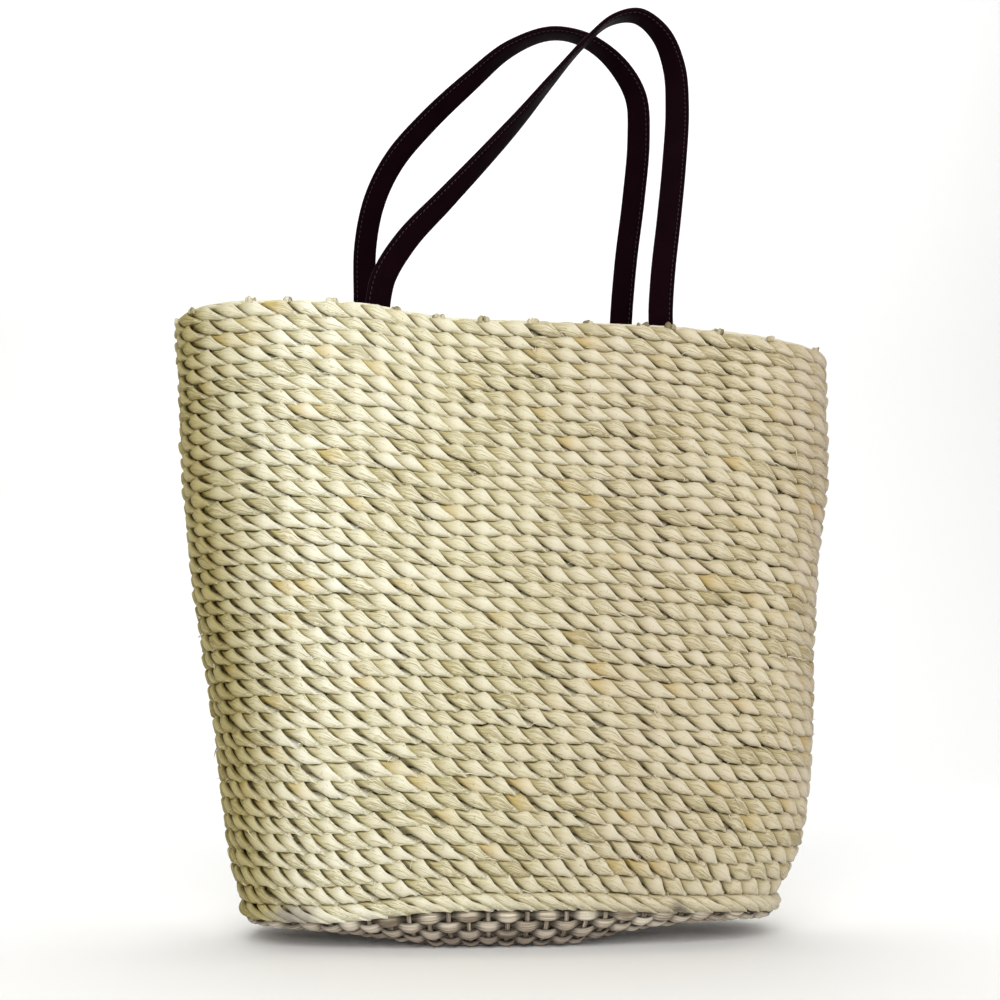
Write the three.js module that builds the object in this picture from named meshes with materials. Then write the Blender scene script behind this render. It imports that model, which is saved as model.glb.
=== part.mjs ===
// A straw shopper: a twined wall on a rounded woven base, a thick waled row round the foot,
// a folded border on the rim, and two leather strap handles sewn inside the mouth.
// Millimetres, +Z up. -Y is the front, +X is the bag's right as seen from the front,
// and the origin is the middle of the base, on the surface that the bag stands on.
import * as THREE from "three";

// The woven body
const mouthWidth = 410;
const footDepth = 124;
const rimHeight = 360; // floor to the top of the border, at the middle of the front
const wallThickness = 9;
const grooveDepth = 1.9; // between one twined row and the next
const rowCount = 37;
const rowTaper = 0.047; // the rows lie this much wider than the mean at the foot, and closer at the rim
const borderHeight = 6;
const borderRound = 1.6;
const footHeight = 20; // floor to the underside of the waled row, at the middle of the front
const waleHeight = 10;
const waleThickness = 11;
const waleProud = 1.2; // how far the waled row stands out from the wall above it
const baseThickness = 7;
const baseSlit = 206; // length of the middle line that the base rows go round
const baseEdgeInset = 2;
const baseEdgeRound = 20; // width of the turned-up edge of the base
const cornerLift = 14; // how far the base rises from the floor at its left end

// The handles
const strapWidth = 15;
const strapThickness = 3.2;
const handleSpacing = 170; // between the middles of a handle's two ends
const handleRise = 214; // top of the border to the crown of the strap
const handleTail = 45; // sewn down inside the wall
const tailGap = 0.7; // the tails lie on the crests of the rows inside
const handleCrownGap = 28; // between the two straps at their crowns
const frontHandleShift = 6.5;
const backHandleShift = -4;

const seatGap = 0.3; // between pieces that touch
const sectionPoints = 44;

// The wall's horizontal sections. left, right and depth are shares of half the mouth's width and
// half the foot's depth, and square is how boxy the section is: 2 is an ellipse.
const wallSections = [
  { up: 0.0, left: 0.75, right: 0.79, depth: 1.0, square: 3.0 },
  { up: 0.05, left: 0.773, right: 0.842, depth: 1.04, square: 3.0 },
  { up: 0.13, left: 0.8, right: 0.882, depth: 1.09, square: 3.0 },
  { up: 0.27, left: 0.834, right: 0.905, depth: 1.13, square: 3.1 },
  { up: 0.42, left: 0.878, right: 0.914, depth: 1.12, square: 3.2 },
  { up: 0.6, left: 0.924, right: 0.934, depth: 1.07, square: 3.5 },
  { up: 0.8, left: 0.962, right: 0.967, depth: 0.99, square: 3.9 },
  { up: 1.0, left: 0.988, right: 0.968, depth: 0.93, square: 4.4 },
];

// The rim's height across the bag, from the left end (-1) to the right end (1), as a share of rimHeight
const rimLine = [
  { across: -1.0, rise: 1.008 },
  { across: -0.87, rise: 1.028 },
  { across: -0.7, rise: 1.033 },
  { across: -0.45, rise: 1.029 },
  { across: -0.3, rise: 1.016 },
  { across: -0.18, rise: 1.006 },
  { across: 0.1, rise: 1.002 },
  { across: 0.4, rise: 0.999 },
  { across: 0.66, rise: 0.991 },
  { across: 0.87, rise: 0.979 },
  { across: 1.0, rise: 0.967 },
];

// The underside of the waled row across the bag, as a share of footHeight
const footLine = [
  { across: -1.0, rise: 0.735 },
  { across: -0.86, rise: 0.75 },
  { across: -0.69, rise: 0.76 },
  { across: -0.57, rise: 0.83 },
  { across: -0.46, rise: 0.93 },
  { across: -0.29, rise: 1.08 },
  { across: -0.12, rise: 1.115 },
  { across: 0.2, rise: 1.11 },
  { across: 0.5, rise: 0.99 },
  { across: 0.7, rise: 0.94 },
  { across: 0.84, rise: 0.89 },
  { across: 0.92, rise: 0.8 },
  { across: 1.0, rise: 0.71 },
];

// How far the underside of the base is from the floor across the bag, as a share of cornerLift
const baseLine = [
  { across: -1.0, rise: 0.7 },
  { across: -0.76, rise: 0.66 },
  { across: -0.6, rise: 0.5 },
  { across: -0.45, rise: 0.28 },
  { across: -0.32, rise: 0.1 },
  { across: -0.24, rise: 0.0 },
  { across: 0.18, rise: 0.0 },
  { across: 0.28, rise: 0.18 },
  { across: 0.42, rise: 0.5 },
  { across: 0.52, rise: 0.66 },
  { across: 0.75, rise: 0.8 },
  { across: 0.88, rise: 0.76 },
  { across: 1.0, rise: 0.66 },
];

// Each handle from its left end, over its crown, to its right end. across is a share of half of
// handleSpacing, up of handleRise, in is the share of the way from the wall to the crown's place,
// and turn is how far the strap's stitched edge has turned towards the front, in degrees.
const frontHandlePath = [
  { across: -1.0, up: 0.05, in: 0.0, turn: 0 },
  { across: -0.96, up: 0.135, in: 0.07, turn: 8 },
  { across: -0.8, up: 0.25, in: 0.2, turn: 30 },
  { across: -0.53, up: 0.38, in: 0.38, turn: 46 },
  { across: -0.256, up: 0.512, in: 0.56, turn: 56 },
  { across: 0.02, up: 0.65, in: 0.74, turn: 68 },
  { across: 0.28, up: 0.79, in: 0.92, turn: 86 },
  { across: 0.52, up: 0.91, in: 1.0, turn: 97 },
  { across: 0.73, up: 0.985, in: 1.0, turn: 95 },
  { across: 0.93, up: 1.0, in: 1.0, turn: 82 },
  { across: 1.1, up: 0.945, in: 1.0, turn: 58 },
  { across: 1.195, up: 0.84, in: 0.94, turn: 32 },
  { across: 1.205, up: 0.7, in: 0.8, turn: 14 },
  { across: 1.15, up: 0.5, in: 0.5, turn: 5 },
  { across: 1.09, up: 0.33, in: 0.28, turn: 0 },
  { across: 1.03, up: 0.17, in: 0.1, turn: 0 },
  { across: 1.0, up: 0.05, in: 0.0, turn: 0 },
];
const backHandlePath = [
  { across: -1.0, up: 0.05, in: 0.0, turn: 0 },
  { across: -1.0, up: 0.17, in: 0.1, turn: 6 },
  { across: -1.0, up: 0.34, in: 0.3, turn: 16 },
  { across: -0.93, up: 0.48, in: 0.48, turn: 24 },
  { across: -0.78, up: 0.6, in: 0.64, turn: 30 },
  { across: -0.52, up: 0.72, in: 0.8, turn: 38 },
  { across: -0.2, up: 0.84, in: 0.95, turn: 50 },
  { across: 0.1, up: 0.945, in: 1.0, turn: 70 },
  { across: 0.42, up: 1.0, in: 1.0, turn: 88 },
  { across: 0.68, up: 0.985, in: 1.0, turn: 84 },
  { across: 0.92, up: 0.915, in: 1.0, turn: 62 },
  { across: 1.09, up: 0.81, in: 0.92, turn: 32 },
  { across: 1.12, up: 0.68, in: 0.75, turn: 12 },
  { across: 1.09, up: 0.5, in: 0.5, turn: 4 },
  { across: 1.04, up: 0.32, in: 0.28, turn: 0 },
  { across: 1.01, up: 0.16, in: 0.1, turn: 0 },
  { across: 1.0, up: 0.05, in: 0.0, turn: 0 },
];

// Reads a column of a table at a place between its rows, along a smooth curve through them that
// never swings past them, so that two equal rows have a level stretch between them.
function readTable(table, placeColumn, column, place) {
  const last = table.length - 1;
  let row = 0;
  while (row < last - 1 && place > table[row + 1][placeColumn]) row += 1;
  const at = (i) => table[i][placeColumn];
  const value = (i) => table[i][column];
  const rise = (i) => (value(i + 1) - value(i)) / (at(i + 1) - at(i));
  const slope = (i) => {
    const before = rise(Math.max(i - 1, 0));
    const after = rise(Math.min(i, last - 1));
    return before * after > 0 ? (2 * before * after) / (before + after) : 0;
  };
  const span = at(row + 1) - at(row);
  const t = THREE.MathUtils.clamp((place - at(row)) / span, 0, 1);
  return (
    value(row) * (1 + 2 * t) * (1 - t) ** 2 +
    value(row + 1) * t * t * (3 - 2 * t) +
    span * slope(row) * t * (1 - t) ** 2 -
    span * slope(row + 1) * t * t * (1 - t)
  );
}

// A closed outline like a rounded box seen from above, at one turn of the way round it. inset is
// measured square to the outline, towards the inside.
function outlinePoint(size, turn, inset = 0) {
  const across = Math.cos(turn);
  const halfWidth = across < 0 ? size.left : size.right;
  const reach = Math.abs(across) ** size.square;
  const deep = Math.max(1 - reach, 0) ** (1 / size.square);
  const x = across * halfWidth;
  const y = Math.sign(Math.sin(turn)) * deep * size.depth;
  const normal = new THREE.Vector2(
    (Math.sign(across) * Math.abs(across) ** (size.square - 1)) / halfWidth,
    (Math.sign(y) * deep ** (size.square - 1)) / size.depth,
  ).normalize();
  return { x: x - normal.x * inset, y: y - normal.y * inset };
}

// Where x lies across a section, from its left end (-1) to its right end (1)
const acrossAt = (size, x) => x / (x < 0 ? size.left : size.right);

const turns = Array.from(
  { length: sectionPoints },
  (_, i) => (2 * Math.PI * i) / sectionPoints,
);

// The wall's size at a share of its height
function wallSize(up) {
  const share = (column) => readTable(wallSections, "up", column, up);
  return {
    left: (share("left") * mouthWidth) / 2,
    right: (share("right") * mouthWidth) / 2,
    depth: (share("depth") * footDepth) / 2,
    square: share("square"),
  };
}

const rimTop = (across) =>
  rimHeight * readTable(rimLine, "across", "rise", across);
const footBottom = (across) =>
  footHeight * readTable(footLine, "across", "rise", across);
const baseLift = (across) =>
  cornerLift * readTable(baseLine, "across", "rise", across);
const wallBottom = (across) => footBottom(across) + waleHeight + seatGap;
const wallTop = (across) => rimTop(across) - borderHeight - seatGap;

function wallPoint(up, turn, inset) {
  const size = wallSize(up);
  const p = outlinePoint(size, turn, inset);
  const across = acrossAt(size, p.x);
  const z = THREE.MathUtils.lerp(wallBottom(across), wallTop(across), up);
  return new THREE.Vector3(p.x, p.y, z);
}

// Joins rows of points, each row a closed loop, into one closed solid. The rows either come back
// to the first one, as on a ring, or end in a cap at each end. A cap joins the loop's two sides
// straight across, point to point.
function solidFrom(rows, isRing) {
  const count = rows[0].length;
  const points = rows.flat();
  const faces = [];
  const rowPairs = isRing ? rows.length : rows.length - 1;
  for (let row = 0; row < rowPairs; row += 1) {
    const next = (row + 1) % rows.length;
    for (let i = 0; i < count; i += 1) {
      const j = (i + 1) % count;
      const [a, b, c, d] = [
        row * count + i,
        row * count + j,
        next * count + j,
        next * count + i,
      ];
      faces.push(a, b, c, a, c, d);
    }
  }
  if (!isRing) {
    const end = (rows.length - 1) * count;
    for (let i = 0; i < count / 2; i += 1) {
      const [a, b, c, d] = [i, i + 1, count - i - 1, (count - i) % count];
      if (b !== c) {
        faces.push(a, c, b);
        faces.push(end + a, end + b, end + c);
      }
      if (a !== d) {
        faces.push(a, d, c);
        faces.push(end + a, end + c, end + d);
      }
    }
  }
  const geometry = new THREE.BufferGeometry().setFromPoints(points);
  geometry.setIndex(faces);
  geometry.computeVertexNormals();
  return geometry;
}

// The wall: ribbed outside, one rib to each twined row, and smooth inside
function wallGeometry() {
  const innerSteps = 10;
  const profile = [];
  for (let step = innerSteps; step >= 0; step -= 1) {
    profile.push({ up: step / innerSteps, inset: wallThickness });
  }
  const rowUp = (row) => {
    const share = row / rowCount;
    return share * (1 + rowTaper * (1 - share));
  };
  for (let row = 0; row < rowCount; row += 1) {
    profile.push({ up: rowUp(row), inset: grooveDepth });
    profile.push({ up: rowUp(row + 0.5), inset: 0 });
  }
  profile.push({ up: 1, inset: grooveDepth });
  const rows = profile.map(({ up, inset }) =>
    turns.map((turn) => wallPoint(up, turn, inset)),
  );
  return solidFrom(rows, true);
}

// A ring that follows the bag's outline, from a profile of insets and heights
function ringGeometry(size, profile, heightAt) {
  const rows = profile.map(({ inset, height }) =>
    turns.map((turn) => {
      const p = outlinePoint(size, turn, inset);
      const z = heightAt(acrossAt(size, p.x)) + height;
      return new THREE.Vector3(p.x, p.y, z);
    }),
  );
  return solidFrom(rows, true);
}

// The border: the stake ends folded over and laid down along the rim
function borderGeometry() {
  const profile = [
    { inset: wallThickness - borderRound / 2, height: -borderHeight },
    { inset: borderRound / 2, height: -borderHeight },
    { inset: 0, height: -borderHeight / 2 },
    { inset: borderRound, height: -borderRound / 2 },
    { inset: wallThickness / 2, height: 0 },
    { inset: wallThickness - borderRound, height: -borderRound / 2 },
    { inset: wallThickness, height: -borderHeight / 2 },
  ];
  return ringGeometry(wallSize(1), profile, rimTop);
}

// The waled row: one thick rope of three strands round the foot
function waleGeometry() {
  const corners = 8;
  const profile = [];
  for (let i = 0; i < corners; i += 1) {
    const angle = (2 * Math.PI * (i + 0.5)) / corners;
    const reach = 1 / Math.cos(Math.PI / corners);
    profile.push({
      inset:
        waleThickness / 2 -
        waleProud -
        (Math.sin(angle) * reach * waleThickness) / 2,
      height: waleHeight / 2 - (Math.cos(angle) * reach * waleHeight) / 2,
    });
  }
  return ringGeometry(wallSize(0), profile, footBottom);
}

// One row of points on the base: share runs from the middle line (0) to the foot (1), and rise
// from the base's flat part (0) to the foot's height (1).
function baseRow(share, rise, lift) {
  const foot = wallSize(0);
  const size = {
    left: THREE.MathUtils.lerp(baseSlit / 2, foot.left - baseEdgeInset, share),
    right: THREE.MathUtils.lerp(
      baseSlit / 2,
      foot.right - baseEdgeInset,
      share,
    ),
    depth: (foot.depth - baseEdgeInset) * share,
    square: foot.square,
  };
  return turns.map((turn) => {
    const p = outlinePoint(size, turn);
    const across = acrossAt(foot, p.x);
    const edge = footBottom(across) - seatGap;
    const flat = Math.min(baseLift(across) + lift, edge);
    return new THREE.Vector3(p.x, p.y, THREE.MathUtils.lerp(flat, edge, rise));
  });
}

// The base: a shallow oval tray whose edge turns up to the waled row
function baseGeometry() {
  const roundSteps = 5;
  const halfDepth = wallSize(0).depth - baseEdgeInset;
  const flatShare = 1 - baseEdgeRound / halfDepth;
  const wallShare = baseThickness / halfDepth;
  const middleShare = 0.12;
  const face = (lift, edgeShare) => {
    const rows = [];
    for (const share of [middleShare, (middleShare + flatShare) / 2]) {
      rows.push(baseRow(share, 0, lift));
    }
    for (let step = 0; step <= roundSteps; step += 1) {
      const angle = ((Math.PI / 2) * step) / roundSteps;
      const share =
        flatShare + (1 - edgeShare - flatShare) * Math.sin(angle);
      rows.push(baseRow(share, 1 - Math.cos(angle), lift));
    }
    return rows;
  };
  const outside = face(0, 0);
  const inside = face(baseThickness, wallShare).reverse();
  return solidFrom([...outside, ...inside], false);
}

// The strap's rounded section: w runs across the strap, towards its stitched edge, and d through it
const strapSection = [
  { w: 0.5, d: 0.22 },
  { w: 0.44, d: 0.5 },
  { w: -0.44, d: 0.5 },
  { w: -0.5, d: 0.22 },
  { w: -0.5, d: -0.22 },
  { w: -0.44, d: -0.5 },
  { w: 0.44, d: -0.5 },
  { w: 0.5, d: -0.22 },
];

// The place in the middle of a strap that lies on the inside of the wall, below the rim by drop
function strapSeat(x, side, drop) {
  const across = acrossAt(wallSize(1), x);
  const z = rimTop(across) - drop;
  const up = (z - wallBottom(across)) / (wallTop(across) - wallBottom(across));
  const size = wallSize(Math.min(up, 1));
  const turn = Math.acos(acrossAt(size, x));
  const inset = wallThickness + tailGap + strapThickness / 2;
  const y = outlinePoint(size, turn, inset).y;
  return new THREE.Vector3(x, side * y, z);
}

// A handle: side is -1 for the one in the front wall and 1 for the one in the back wall
function handleGeometry(path, side, shift) {
  const tailSteps = 3;
  const tail = (end) => {
    const x = shift + (end * handleSpacing) / 2;
    return Array.from({ length: tailSteps + 1 }, (_, i) => ({
      place: strapSeat(x, side, handleTail * (1 - i / tailSteps)),
      turn: 0,
    }));
  };
  const crownY = (side * handleCrownGap) / 2;
  const free = path.map((row) => {
    const x = shift + (row.across * handleSpacing) / 2;
    const end = shift + (Math.sign(row.across) * handleSpacing) / 2;
    const wallY = strapSeat(end, side, 0).y;
    return {
      place: new THREE.Vector3(
        x,
        THREE.MathUtils.lerp(wallY, crownY, row.in),
        rimHeight + row.up * handleRise,
      ),
      turn: row.turn,
    };
  });
  const stops = [...tail(-1), ...free, ...tail(1).reverse()];
  const line = new THREE.CatmullRomCurve3(
    stops.map((stop) => stop.place),
    false,
    "centripetal",
  );
  const stepsPerStop = 2;
  const steps = (stops.length - 1) * stepsPerStop;
  const rows = [];
  for (let step = 0; step <= steps; step += 1) {
    const t = step / steps;
    const stop = Math.min(Math.floor(t * (stops.length - 1)), stops.length - 2);
    const part = THREE.MathUtils.smoothstep(t * (stops.length - 1) - stop, 0, 1);
    const turn = THREE.MathUtils.degToRad(
      THREE.MathUtils.lerp(stops[stop].turn, stops[stop + 1].turn, part),
    );
    const along = line.getTangent(t);
    const outer = along.clone().cross(new THREE.Vector3(0, 1, 0)).normalize();
    const across = outer.applyAxisAngle(along, turn);
    const through = along.clone().cross(across);
    rows.push(
      strapSection.map(({ w, d }) =>
        line
          .getPoint(t)
          .addScaledVector(across, w * strapWidth)
          .addScaledVector(through, d * strapThickness),
      ),
    );
  }
  return solidFrom(rows, false);
}

const straw = new THREE.MeshStandardMaterial({
  color: 0xddd6ae,
  roughness: 0.62,
});
const shadedStraw = new THREE.MeshStandardMaterial({
  color: 0xb9ab88,
  roughness: 0.7,
});
const leather = new THREE.MeshStandardMaterial({
  color: 0x1c1014,
  roughness: 0.42,
});

function piece(name, geometry, material) {
  const mesh = new THREE.Mesh(geometry, material);
  mesh.name = name;
  return mesh;
}

const bag = new THREE.Group();
bag.add(
  piece("woven_base", baseGeometry(), shadedStraw),
  piece("foot_wale", waleGeometry(), straw),
  piece("woven_wall", wallGeometry(), straw),
  piece("rim_border", borderGeometry(), straw),
  piece(
    "handle_front",
    handleGeometry(frontHandlePath, -1, frontHandleShift),
    leather,
  ),
  piece(
    "handle_back",
    handleGeometry(backHandlePath, 1, backHandleShift),
    leather,
  ),
);

export default bag;
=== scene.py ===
# A twined straw shopper with two leather shoulder straps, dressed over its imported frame.
# Metres, +Z up, -Y is the front. Every strand of straw is a tube of its own, laid round the bag the
# way a maker lays it: two strands to a twined row, three to the thick row at the foot, one to each
# row of the base.
import math

import bpy
import numpy as np
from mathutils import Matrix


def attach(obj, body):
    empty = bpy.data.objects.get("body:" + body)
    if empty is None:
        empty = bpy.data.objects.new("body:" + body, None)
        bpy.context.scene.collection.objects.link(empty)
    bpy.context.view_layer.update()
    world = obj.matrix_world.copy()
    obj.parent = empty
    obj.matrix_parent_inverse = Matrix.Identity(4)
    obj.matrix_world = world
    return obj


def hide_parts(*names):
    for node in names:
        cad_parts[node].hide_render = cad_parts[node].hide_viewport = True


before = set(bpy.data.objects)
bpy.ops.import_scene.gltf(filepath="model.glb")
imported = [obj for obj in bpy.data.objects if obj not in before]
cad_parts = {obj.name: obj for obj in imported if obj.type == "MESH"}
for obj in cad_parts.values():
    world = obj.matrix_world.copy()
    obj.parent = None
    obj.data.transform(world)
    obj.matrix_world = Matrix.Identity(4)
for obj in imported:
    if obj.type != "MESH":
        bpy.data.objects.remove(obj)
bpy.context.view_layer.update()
luck = np.random.default_rng(37)  # one seeded source for everything that varies
mm = 0.001
fullTurn = 2 * math.pi

# the bag's own shape, as in the solids that it dresses
bag = {
    "mouthWidth": 0.410,
    "footDepth": 0.124,
    "rimHeight": 0.360,
    "wallThickness": 0.009,
    "borderHeight": 0.006,
    "footHeight": 0.020,
    "waleHeight": 0.010,
    "waleThickness": 0.011,
    "waleProud": 0.0012,
    "edgeRoom": 0.0015,  # the thin edge that is left above the top row
    "seatGap": 0.0003,
    "baseThickness": 0.007,
    "baseSlit": 0.206,
    "baseEdgeInset": 0.002,
    "baseEdgeRound": 0.020,
    "cornerLift": 0.014,
    "stakes": 66,
}
# up, left, right, depth, square: shares of half the mouth's width and half the foot's depth
wallSections = [
    (0.0, 0.75, 0.79, 1.0, 3.0),
    (0.05, 0.773, 0.842, 1.04, 3.0),
    (0.13, 0.8, 0.882, 1.09, 3.0),
    (0.27, 0.834, 0.905, 1.13, 3.1),
    (0.42, 0.878, 0.914, 1.12, 3.2),
    (0.6, 0.924, 0.934, 1.07, 3.5),
    (0.8, 0.962, 0.967, 0.99, 3.9),
    (1.0, 0.988, 0.968, 0.93, 4.4),
]
# place across the bag, then height as a share of rimHeight, footHeight and cornerLift
rimLine = [
    (-1.0, 1.008),
    (-0.87, 1.028),
    (-0.7, 1.033),
    (-0.45, 1.029),
    (-0.3, 1.016),
    (-0.18, 1.006),
    (0.1, 1.002),
    (0.4, 0.999),
    (0.66, 0.991),
    (0.87, 0.979),
    (1.0, 0.967),
]
footLine = [
    (-1.0, 0.735),
    (-0.86, 0.75),
    (-0.69, 0.76),
    (-0.57, 0.83),
    (-0.46, 0.93),
    (-0.29, 1.08),
    (-0.12, 1.115),
    (0.2, 1.11),
    (0.5, 0.99),
    (0.7, 0.94),
    (0.84, 0.89),
    (0.92, 0.8),
    (1.0, 0.71),
]
baseLine = [
    (-1.0, 0.7),
    (-0.76, 0.66),
    (-0.6, 0.5),
    (-0.45, 0.28),
    (-0.32, 0.1),
    (-0.24, 0.0),
    (0.18, 0.0),
    (0.28, 0.18),
    (0.42, 0.5),
    (0.52, 0.66),
    (0.75, 0.8),
    (0.88, 0.76),
    (1.0, 0.66),
]


# A smooth curve through a table's rows that never swings past them
def readTable(table, column, place):
    at = np.array([row[0] for row in table])
    value = np.array([row[column] for row in table])
    rise = np.diff(value) / np.diff(at)
    before, after = np.append(rise[:1], rise), np.append(rise, rise[-1:])
    oneWay = before * after > 0
    slope = np.where(oneWay, 2 * before * after / np.where(oneWay, before + after, 1), 0)
    i = np.clip(np.searchsorted(at, place, side="left") - 1, 0, len(at) - 2)
    span = at[i + 1] - at[i]
    t = np.clip((place - at[i]) / span, 0, 1)
    ends = value[i] * (1 + 2 * t) * (1 - t) ** 2 + value[i + 1] * t * t * (3 - 2 * t)
    return ends + span * (slope[i] * t * (1 - t) ** 2 - slope[i + 1] * t * t * (1 - t))


def smooth(low, high, value):
    t = np.clip((value - low) / (high - low), 0, 1)
    return t * t * (3 - 2 * t)


def unit(vectors):
    return vectors / np.linalg.norm(vectors, axis=-1, keepdims=True)


def rimTop(across):
    return bag["rimHeight"] * readTable(rimLine, 1, across)


def footBottom(across):
    return bag["footHeight"] * readTable(footLine, 1, across)


def baseLift(across):
    return bag["cornerLift"] * readTable(baseLine, 1, across)


# left, right, depth and squareness of the wall's outline at a share of its height
def wallSize(up):
    half = bag["mouthWidth"] / 2, bag["mouthWidth"] / 2, bag["footDepth"] / 2, 1
    return [readTable(wallSections, i + 1, up) * half[i] for i in range(4)]


# points of a rounded-box outline at turns round it, and the outward normals there
def outline(size, turn):
    left, right, depth, square = size
    c, s = np.cos(turn), np.sign(np.sin(turn))
    width = np.where(c < 0, left, right)
    deep = np.maximum(1 - np.abs(c) ** square, 0) ** (1 / square)
    normal = np.stack(
        [np.sign(c) * np.abs(c) ** (square - 1) / width, s * deep ** (square - 1) / depth, 0 * c], -1
    )
    return c * width, s * deep * depth, unit(normal)


# the turns at which stakes stand, evenly spaced along an outline. Stake 0 is at the right end.
def stakeTurns(size, stake):
    turn = np.linspace(0, fullTurn, 8001)
    x, y, _ = outline(size, turn)
    run = np.append(0, np.cumsum(np.hypot(np.diff(x), np.diff(y))))
    return np.interp(np.mod(stake / bag["stakes"], 1) * run[-1], run, turn)


# slow wandering over the bag: a few long waves that meet again behind it
def makeDrift(waves, most):
    parts = [
        (luck.integers(1, most), luck.uniform(-3, 3), luck.uniform(0, fullTurn)) for _ in range(waves)
    ]

    def drift(stake, up):
        total = sum(
            np.sin(fullTurn * (around * stake / bag["stakes"] + rise * up) + start)
            for around, rise, start in parts
        )
        return total / math.sqrt(waves / 2)

    return drift


rowDrift = makeDrift(7, 9)
columnDrift = makeDrift(7, 8)
bulgeDrift = makeDrift(6, 7)
patchDrift = makeDrift(8, 11)

# how far the hand work strays from the drawn shape
stray = {"row": 0.7 * mm, "column": 0.16, "bulge": 0.6 * mm, "edge": 0.042}


# A place on the middle of the wall: point, outward, upward, and the height of one unit of up
def wallWay(up, stake):
    turn = stakeTurns(wallSize(np.array(up)), stake + stray["column"] * columnDrift(stake, up))
    height = bag["rimHeight"] - bag["footHeight"]
    wander = up + stray["row"] / height * rowDrift(stake, up) * (4 * up * (1 - up)) ** 0.5

    def point(level):
        size = wallSize(level)
        x, y, normal = outline(size, turn)
        inset = bag["wallThickness"] / 2 - stray["bulge"] * bulgeDrift(stake, up)
        x, y = x - normal[:, 0] * inset, y - normal[:, 1] * inset
        across = x / np.where(x < 0, size[0], size[1])
        low = footBottom(across) + bag["waleHeight"] + bag["seatGap"]
        high = rimTop(across) - bag["edgeRoom"]
        return np.stack([x, y, low + (high - low) * level], -1), normal

    step = 0.01
    place, normal = point(wander)
    rise = (point(wander + step)[0] - point(wander - step)[0]) / (2 * step)
    upward = unit(rise)
    outward = unit(normal - upward * (normal * upward).sum(-1, keepdims=True))
    return place, outward, upward, np.linalg.norm(rise, axis=-1)


# The same on a ring that follows the foot or the rim
def ringWay(up, stake, inset, heightAt):
    size = wallSize(np.array(up))
    x, y, normal = outline(size, stakeTurns(size, stake))
    x, y = x - normal[:, 0] * inset, y - normal[:, 1] * inset
    z = heightAt(x / np.where(x < 0, size[0], size[1]))
    upward = np.zeros_like(normal) + (0, 0, 1)
    return np.stack([x, y, z], -1), normal, upward


# The same on the middle of the base, at a distance from its middle line along its section. The
# outward side is the underside, and upward points from the middle line to the edge.
def baseWay(distance, stake):
    foot = wallSize(np.array(0.0))
    halfDepth = foot[2] - bag["baseEdgeInset"]
    half = bag["baseThickness"] / 2
    flat = halfDepth - bag["baseEdgeRound"]

    def point(run):
        angle = np.clip((run - flat) / (baseReach() - flat), 0, 1) * math.pi / 2
        share = np.minimum(run, flat) / halfDepth
        share = share + (halfDepth - half - flat) / halfDepth * np.sin(angle)
        slit = bag["baseSlit"] / 2
        ends = [slit + (foot[i] - bag["baseEdgeInset"] - slit) * share for i in (0, 1)]
        size = ends[0], ends[1], halfDepth * share, foot[3]
        x, y, _ = outline(size, stakeTurns(size, stake))
        across = x / np.where(x < 0, foot[0], foot[1])
        edge = footBottom(across) - bag["seatGap"]
        low = np.minimum(baseLift(across) + half, edge)
        return np.stack([x, y, low + (edge - low) * (1 - np.cos(angle))], -1)

    step = 0.4 * mm
    place = point(distance)
    upward = unit(point(distance + step) - point(distance - step))
    onward = unit(np.roll(place, -1, 0) - np.roll(place, 1, 0))
    return place, unit(np.cross(onward, upward)), upward


# the length of the base's section from its middle line to its edge
def baseReach():
    flat = bag["footDepth"] / 2 - bag["baseEdgeInset"] - bag["baseEdgeRound"]
    return flat + bag["baseEdgeRound"] * 1.5


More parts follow.
